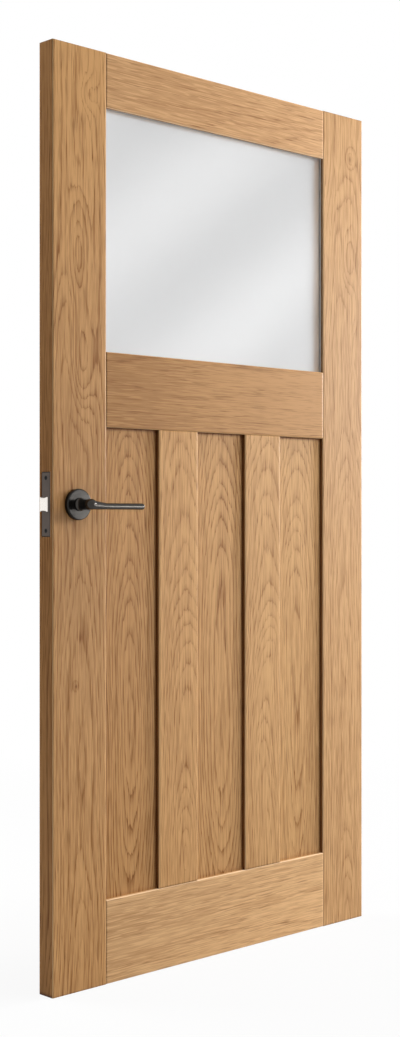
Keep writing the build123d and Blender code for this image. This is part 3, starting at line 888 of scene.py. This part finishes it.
def node_middle(node: str) -> Place:
    """Return the middle of a node's box."""
    low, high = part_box(node)
    return tuple((low + high) / 2)


def new_object(name: str, data: bpy.types.ID) -> bpy.types.Object:
    """Make an object at the origin and put it in the scene.

    Args:
        name: The object's name.
        data: Its mesh, light or camera.

    Returns:
        The object.
    """
    made = bpy.data.objects.new(name, data)
    bpy.context.scene.collection.objects.link(made)
    log.info("%s made", name)
    return made


def finished_mesh(name: str, shape: bmesh.types.BMesh, material: bpy.types.Material) -> bpy.types.Mesh:
    """Turn a bmesh into a mesh and free it.

    Args:
        name: The mesh's name.
        shape: The finished shape.
        material: What all its faces get.

    Returns:
        The mesh.
    """
    mesh = bpy.data.meshes.new(name)
    shape.to_mesh(mesh)
    shape.free()
    mesh.materials.append(material)
    return mesh


@dataclass
class FramedLeaf:
    """The oak framing and panels, each board with a figure of its own."""

    stile_pith: float = 0.085
    rail_pith: float = 0.15
    panel_pith: float = 0.050
    muntin_pith: float = 0.085
    stile_shade: float = 0.40
    rail_shade: float = 0.60

    def build(self) -> None:
        """Dress every board."""
        for boards in (self.stiles(), self.rails(), self.muntins(), self.panels(), self.beads()):
            for board in boards:
                dress(board.material(), board.name)

    def cut(self, pith: float, rows: tuple[tuple, ...], **shared: object) -> list[OakFinish]:
        """Cut boards alike, each centred on its node.

        Args:
            pith: Depth of the pith behind the boards' middle.
            rows: For each board its node, how far across its pith is, its seed and its own settings.
            shared: Settings of all the boards.

        Returns:
            A finish for each board.
        """
        return [
            OakFinish(node, node_middle(node), across, pith, seed, **shared, **own)
            for node, across, seed, own in rows
        ]

    def stiles(self) -> list[OakFinish]:
        """Choose the stiles' figures.

        Returns:
            A finish for each stile.
        """
        latch_swirls = (
            Swirl(-0.003, 0.555, 0.026, 0.120, 0.034),
            Swirl(0.006, 0.330, 0.030, 0.110, 0.038),
            Swirl(0.027, 0.895, 0.022, 0.034, 0.018, 0.45),
            Swirl(-0.010, -0.352, 0.010, 0.016, 0.008, 0.6),
            Swirl.shade(0.00, self.stile_shade, 1.60, 0.19),
            Swirl.shade(0.95, self.stile_shade, 0.70, -0.30),
        )
        hinge_swirls = (
            Swirl(0.027, 0.889, 0.018, 0.030, 0.018, 0.45),
            Swirl(0.022, 0.643, 0.022, 0.075, 0.018),
            Swirl(0.038, 0.426, 0.022, 0.070, 0.016),
            Swirl.shade(0.30, self.stile_shade, 1.30, 0.11),
        )
        latch_own = {"drift": 0.03, "wander": 0.06, "lines": 0.8, "tone": (0.90, 0.90, 0.90)}
        hinge_own = {"drift": 0.04, "lines": 0.55, "tone": (0.95, 1.01, 1.14), "painted_shade_share": 0.45}
        return self.cut(self.stile_pith, (
            ("latch_stile", 0.004, 1.7, {"swirls": latch_swirls, **latch_own}),
            ("hinge_stile", -0.006, 9.4, {"swirls": hinge_swirls, **hinge_own}),
        ))

    def rails(self) -> list[OakFinish]:
        """Choose the rails' figures.

        Returns:
            A finish for each rail.
        """
        breadth = self.rail_shade
        top = (Swirl.shade(0.20, breadth, 1.40, 0.09),)
        mid = (Swirl.shade(0.34, breadth, 0.80, 0.15), Swirl.shade(-0.32, breadth, 0.80, -0.15))
        bottom = (Swirl.shade(0.32, breadth, 1.20, 0.14),)
        rows = (
            ("top_rail", 0.05, 17.2, {"tone": (1.0, 1.06, 1.25), "swirls": top}),
            ("mid_rail", -0.04, 23.9, {"tone": (0.73, 0.69, 0.62), "swirls": mid}),
            # The bottom rail's oak is painted paler, painted light for the weaker light near the floor.
            ("bottom_rail", 0.03, 31.3, {"tone": (1.16, 1.31, 1.62), "swirls": bottom}),
        )
        return self.cut(self.rail_pith, rows, grain=GrainAxis.LEVEL, **RAIL_CUT)

    def muntins(self) -> list[OakFinish]:
        """Choose the muntins' figures."""
        return self.cut(self.muntin_pith, (
            ("latch_side_muntin", -0.020, 38.6, {"lines": 0.55, "tone": (0.95, 0.97, 0.99)}),
            ("hinge_side_muntin", -0.016, 45.1, {"lines": 0.6, "tone": (0.94, 0.98, 1.03)}),
        ), **MUNTIN_CUT)

    def panels(self) -> list[OakFinish]:
        """Choose the panels' figures."""
        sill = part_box("bottom_rail")[1].z
        return self.cut(self.panel_pith, (
            ("latch_side_panel", 0.005, 52.8, {"crest": -0.06, "lines": 0.95, "tone": (0.81, 0.78, 0.72)}),
            ("centre_panel", -0.008, 59.5, {"crest": -0.02, "lines": 0.85, "tone": (0.90, 0.91, 0.90)}),
            ("hinge_side_panel", 0.008, 66.4, {"crest": -0.08, "lines": 0.7, "tone": (0.93, 0.97, 0.99)}),
        ), sill=sill, **PANEL_CUT)

    def beads(self) -> list[OakFinish]:
        """Choose the glazing beads' figures."""
        return self.cut(self.rail_pith, (
            ("top_bead", 0.02, 73.7, {"grain": GrainAxis.LEVEL}),
            ("bottom_bead", -0.02, 80.2, {"grain": GrainAxis.LEVEL}),
            ("latch_side_bead", 0.01, 87.9, {}),
            ("hinge_side_bead", -0.01, 94.3, {}),
        ), **BEAD_CUT)


@dataclass
class GlazedLight:
    """The pane of the top light with its tapes and setting blocks."""

    glass: SatinGlassFinish = SatinGlassFinish()
    tapes: tuple[str, ...] = ("front_glazing_tape", "rear_glazing_tape")

    def build(self) -> None:
        """Dress the glazing."""
        dress(self.glass.material(), "glass_pane")
        dress(PALE_TAPE.material(), *self.tapes)
        dress(BLOCK_PLASTIC.material(), "setting_blocks")


@dataclass
class LatchSpring:
    """The flat V spring behind the bolt, which closes up as the bolt goes in."""

    material: bpy.types.Material
    name: str = "latch_spring_strip"
    node: str = "latch_spring"
    joint: str = "latch_slide"
    strip: float = 0.0008
    bend: float = 0.0012
    bend_segments: int = 4

    def build(self) -> bpy.types.Object:
        """Make the spring on the leaf in place of the case's spring node.

        Returns:
            The spring's object.
        """
        low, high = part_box(self.node)
        spring = new_object(self.name, self.mesh(low, high))
        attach(spring, "leaf")
        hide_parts(self.node)
        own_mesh(spring)
        return spring

    def mesh(self, low: Vector, high: Vector) -> bpy.types.Mesh:
        """Draw the V's outline, extrude it across the case and round its bend.

        Args:
            low: The lowest corner of the spring's box.
            high: The highest corner of the spring's box.

        Returns:
            The spring's mesh.
        """
        middle = (low.x + high.x) / 2
        inner = low.z + self.strip * (high.z - low.z) / (middle - low.x)
        outline = (
            (low.x, high.z), (low.x + self.strip, high.z), (middle, inner), (high.x - self.strip, high.z),
            (high.x, high.z), (middle, low.z),
        )
        shape = bmesh.new()
        face = shape.faces.new([shape.verts.new((x, low.y, z)) for x, z in outline])
        pulled = bmesh.ops.extrude_face_region(shape, geom=[face])["geom"]
        far = [part for part in pulled if isinstance(part, bmesh.types.BMVert)]
        bmesh.ops.translate(shape, vec=(0.0, high.y - low.y, 0.0), verts=far)
        hair = self.strip / 10
        bend = [
            edge for edge in shape.edges
            if all(abs(vert.co.x - middle) < hair for vert in edge.verts)
            and abs(edge.verts[0].co.y - edge.verts[1].co.y) > self.strip
        ]
        bmesh.ops.bevel(
            shape, geom=bend, offset=self.bend, segments=self.bend_segments, profile=0.5,
            affect="EDGES", material=-1,
        )
        bmesh.ops.recalc_face_normals(shape, faces=shape.faces)
        return finished_mesh(self.name, shape, self.material)


@dataclass
class Ironmongery:
    """Levers, roses, latch and hinges, with the pins of the glazing beads."""

    sides: tuple[str, ...] = ("front", "rear")
    screws: tuple[str, ...] = ("forend_screws", "lever_grub_screws")
    plated: tuple[str, ...] = (
        "front_rose_plate", "rear_rose_plate", "rose_bolts", "spindle", "lever_circlips", "latch_case",
        "latch_case_cover", "case_screws", "latch_follower", "follower_spring", "bead_pins",
    )
    hinges: tuple[str, ...] = ("top", "middle", "bottom")
    hinge_pieces: tuple[str, ...] = ("door_leaf", "frame_leaf", "pin")

    def build(self) -> None:
        """Dress every metal piece and make the latch spring."""
        dress(LIT_LEVER_METAL.material(), *(f"{side}_lever" for side in self.sides))
        dress(SHADED_ROSE_METAL.material(), *(f"{side}_rose" for side in self.sides))
        low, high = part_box("latch_forend")
        forend = ShadeLinedFinish(
            "forend_metal", colour(76, 67, 61), colour(90, 80, 73), smooth=0.34, rough=0.44, metallic=0.7,
            low=tuple(low), high=tuple(high),
        )
        dress(forend.material(), "latch_forend")
        dress(SCREW_METAL.material(), *self.screws)
        plated_steel = PLATED_STEEL.material()
        dress(plated_steel, *self.plated)
        LatchSpring(plated_steel).build()
        dress(BRIGHT_METAL.material(), "latch_bolt")
        hinges = [f"{place}_hinge_{piece}" for place in self.hinges for piece in self.hinge_pieces]
        dress(HINGE_METAL.material(), *hinges, "hinge_screws")


@dataclass
class Lamp:
    """A square soft light aimed at a point."""

    name: str
    place: Place
    target: Place
    power: float
    width: float
    glossy: bool = False

    def build(self) -> bpy.types.Object:
        """Make the light.

        Returns:
            The light's object.
        """
        data = bpy.data.lights.new(self.name, "AREA")
        data.energy = self.power
        data.size = self.width
        lamp = new_object(self.name, data)
        lamp.location = self.place
        lamp.rotation_euler = (Vector(self.target) - Vector(self.place)).to_track_quat("-Z", "Y").to_euler()
        lamp.visible_glossy = self.glossy
        lamp.visible_transmission = False
        return lamp


@dataclass
class ReflectionCard:
    """A glowing upright card that only reflections see, plain or in soft slanting bands."""

    name: str
    place: Place
    width: float
    height: float
    level: float
    swing: float = 0.0
    slope: float = 0.70
    pitch: float = 0.776
    peak: float = 0.213
    fall: float = 0.0

    def build(self) -> bpy.types.Object:
        """Make the card.

        Returns:
            The card's object.
        """
        shape = bmesh.new()
        bmesh.ops.create_grid(shape, x_segments=1, y_segments=1, size=0.5)
        bmesh.ops.scale(shape, vec=(self.width, self.height, 1.0), verts=shape.verts)
        bmesh.ops.rotate(shape, matrix=Matrix.Rotation(-math.pi / 2, 3, "X"), verts=shape.verts)
        bmesh.ops.translate(shape, vec=self.place, verts=shape.verts)
        card = new_object(self.name, finished_mesh(self.name, shape, self.material()))
        for ray in ("camera", "diffuse", "shadow", "transmission"):
            setattr(card, f"visible_{ray}", False)
        return card

    def material(self) -> bpy.types.Material:
        """Build the card's glow.

        Returns:
            The material.
        """
        material, bench, output = bare_material(self.name)
        strength = self.bands(bench) if self.swing else self.level
        glow = bench.node("ShaderNodeEmission", {"Strength": strength})
        bench.feed(output, {"Surface": glow.outputs[0]})
        return material

    def bands(self, bench: NodeBench) -> Socket:
        """Draw the bands.

        Args:
            bench: Bench on the material's nodes.

        Returns:
            The glow's strength.
        """
        place = bench.node("ShaderNodeTexCoord")
        side, _, up = bench.split(place.outputs["Object"])
        slant = bench.math("MULTIPLY_ADD", side, -self.slope, up)
        turn = bench.math("MULTIPLY", bench.math("SUBTRACT", slant, self.peak), math.tau / self.pitch)
        banded = bench.math("MULTIPLY_ADD", bench.math("COSINE", turn), self.swing, self.level)
        past = bench.math("SUBTRACT", side, self.place[0])
        return bench.math("MAXIMUM", bench.math("MULTIPLY_ADD", past, -self.fall, banded), 0.0)


@dataclass
class Studio:
    """Pale floor, white surroundings, soft lights and the camera."""

    floor_radius: float = 14.0
    floor_segments: int = 96
    floor_fade: Span = (1.6, 3.2)
    floor_shadow_share: float = 0.09
    floor_colour: Colour = (0.6, 0.6, 0.6, 1.0)
    ambient: float = 0.04
    camera_place: Place = (-2.5530, -2.5970, 0.9926)
    camera_heading: Place = (0.6943, 0.7197, 0.0)
    focal_pixels: float = 1588.5
    frame_height_pixels: float = 1037.0
    sensor: float = 36.0
    lamps: tuple[Lamp, ...] = (
        Lamp("key_light", (2.9, -2.6, 2.5), (0.1, 0.0, 1.05), 84.0, 1.4),
        Lamp("top_light", (0.4, -0.9, 6.2), (0.1, -0.1, 1.0), 190.0, 1.6),
        Lamp("rim_light", (5.0, -1.2, 1.9), (0.0, 0.0, 1.0), 290.0, 1.1, glossy=True),
        Lamp("side_fill_light", (-4.0, -0.5, 1.3), (0.2, 0.0, 1.2), 14.0, 1.2),
        Lamp("rear_key_light", (-1.7, 2.4, 3.4), (-0.2, 0.0, 1.0), 68.0, 1.2),
        Lamp("rear_fill_light", (-0.8, 3.7, 2.4), (0.0, 0.0, 1.0), 74.0, 2.0),
    )
    cards: tuple[ReflectionCard, ...] = (
        ReflectionCard("banded_card", (2.25, -2.2, 2.2), 2.6, 2.6, level=1.2, swing=1.2, fall=0.9),
        ReflectionCard("sheen_card", (4.05, -2.7, 1.4), 1.2, 3.4, level=4.0),
        ReflectionCard("streak_card", (1.60, -2.15, 0.72), 0.30, 1.36, level=20.0),
    )

    def build(self) -> None:
        """Make the stage, the lights and the camera."""
        self.build_world()
        self.build_floor()
        for piece in (*self.lamps, *self.cards):
            piece.build()
        self.build_camera()
        bpy.context.scene.view_settings.view_transform = "Standard"

    def seen_plain(self, bench: NodeBench) -> Socket:
        """Tell the rays that should see a plain white background.

        Args:
            bench: Bench on the material's or the world's nodes.

        Returns:
            1 for camera, glossy and transmission rays, 0 for the rest.
        """
        path = bench.node("ShaderNodeLightPath")
        kinds = ("Is Camera Ray", "Is Transmission Ray", "Is Glossy Ray")
        return bench.chain("MAXIMUM", *(path.outputs[kind] for kind in kinds))

    def build_world(self) -> None:
        """Make surroundings that are white to look at and a soft ambient light otherwise."""
        world = bpy.data.worlds.new("studio_world")
        world.use_nodes = True
        bpy.context.scene.world = world
        bench = NodeBench(world.node_tree)
        background = world.node_tree.nodes["Background"]
        plain = self.seen_plain(bench)
        spare = bench.math("MULTIPLY", bench.math("SUBTRACT", 1.0, plain), self.ambient)
        bench.feed(background, {"Color": WHITE, "Strength": bench.math("ADD", plain, spare)})

    def build_floor(self) -> None:
        """Make a round floor under the leaf."""
        shape = bmesh.new()
        bmesh.ops.create_circle(shape, cap_ends=True, segments=self.floor_segments, radius=self.floor_radius)
        floor = new_object("floor", finished_mesh("floor", shape, self.floor_material()))

    def floor_material(self) -> bpy.types.Material:
        """Build a white that keeps a soft shadow near the leaf and fades to plain white.

        Returns:
            The material.
        """
        material, bench, output = bare_material("white_floor")
        place = bench.node("ShaderNodeTexCoord").outputs["Object"]
        distance = bench.node("ShaderNodeVectorMath", {0: place}, operation="LENGTH")
        near = bench.remap(distance.outputs["Value"], self.floor_fade, (1.0, 0.0))
        unshaded = bench.math("SUBTRACT", 1.0, bench.math("MULTIPLY", near, self.floor_shadow_share))
        glow_share = bench.math("MULTIPLY", self.seen_plain(bench), unshaded)
        matt = bench.node("ShaderNodeBsdfDiffuse", {"Color": self.floor_colour})
        glow = bench.node("ShaderNodeEmission", {"Strength": 1.0})
        both = bench.node("ShaderNodeMixShader", {0: glow_share, 1: matt.outputs[0], 2: glow.outputs[0]})
        bench.feed(output, {"Surface": both.outputs[0]})
        return material

    def build_camera(self) -> None:
        """Make the camera: level, at half the leaf's height, looking past the latch edge."""
        data = bpy.data.cameras.new("camera")
        data.sensor_width = self.sensor
        data.lens = self.sensor * self.focal_pixels / self.frame_height_pixels
        camera = new_object("camera", data)
        camera.location = self.camera_place
        camera.rotation_euler = Vector(self.camera_heading).to_track_quat("-Z", "Y").to_euler()
        bpy.context.scene.camera = camera


def main() -> None:
    """Dress the door and set up the studio."""
    logging.basicConfig(level=logging.INFO, format="%(name)s: %(message)s")
    for assembly in (FramedLeaf(), GlazedLight(), Ironmongery(), Studio()):
        assembly.build()
        log.info("%s done", type(assembly).__name__)


if __name__ == "__main__":
    main()
